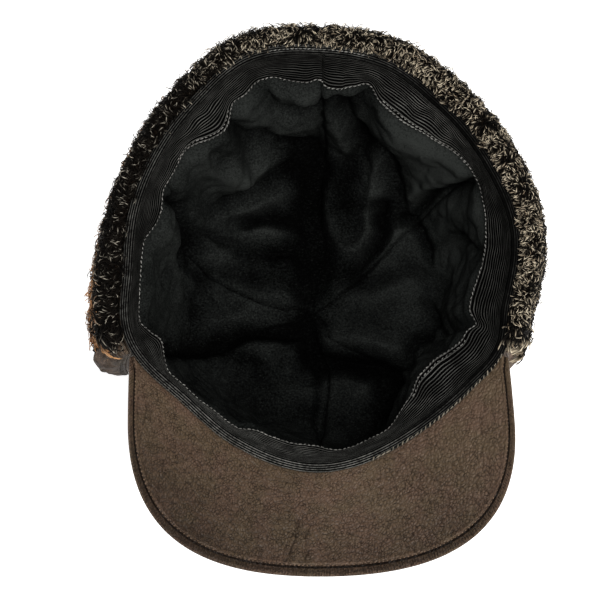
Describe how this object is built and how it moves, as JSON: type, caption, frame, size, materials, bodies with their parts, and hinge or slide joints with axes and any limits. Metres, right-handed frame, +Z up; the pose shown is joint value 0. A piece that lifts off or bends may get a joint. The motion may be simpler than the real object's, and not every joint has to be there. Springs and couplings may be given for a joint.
{
  "type": "trooper hat",
  "caption": "Soft leather panelled winter hat with a leather peak and a pile-lined ear and neck flap turned up round the sides and back, lying upside down on its crown.",
  "frame": {"origin": "on the surface that the hat lies on, below the middle of its head opening, on the flattened top of its crown", "axes": "+Z up out of the head opening, because the hat lies upside down; the peak points to -Y; the wearer's right is +X"},
  "size_m": [0.2154, 0.2501, 0.1335],
  "materials": {
    "crown_leather": "soft brown-grey sheep nappa with a faint pebble, matt satin",
    "flap_leather": "the same soft leather, paler where it is turned over the edge",
    "peak_leather": "pebbled brown-grey leather, matt satin, stitched in dark brown beside a rolled edge",
    "lining_cloth": "black brushed cotton flannel, padded",
    "sweatband_tape": "black ribbed grosgrain tape with grey-white stitches",
    "pile": "curled pile, dark brown at the root with frosted tan tips"
  },
  "bodies": {
    "root": {"crown_back_right": "crown_leather", "crown_side_right": "crown_leather", "crown_front_right": "crown_leather", "crown_front_left": "crown_leather", "crown_side_left": "crown_leather", "crown_back_left": "crown_leather", "lining_back_right": "lining_cloth", "lining_side_right": "lining_cloth", "lining_front_right": "lining_cloth", "lining_front_left": "lining_cloth", "lining_side_left": "lining_cloth", "lining_back_left": "lining_cloth", "sweatband": "sweatband_tape", "flap_leather": "flap_leather", "flap_pile": "pile", "flap_hem_right": "flap_leather", "flap_hem_left": "flap_leather", "peak_upper": "peak_leather", "peak_underside": "peak_leather"}
  },
  "joints": []
}
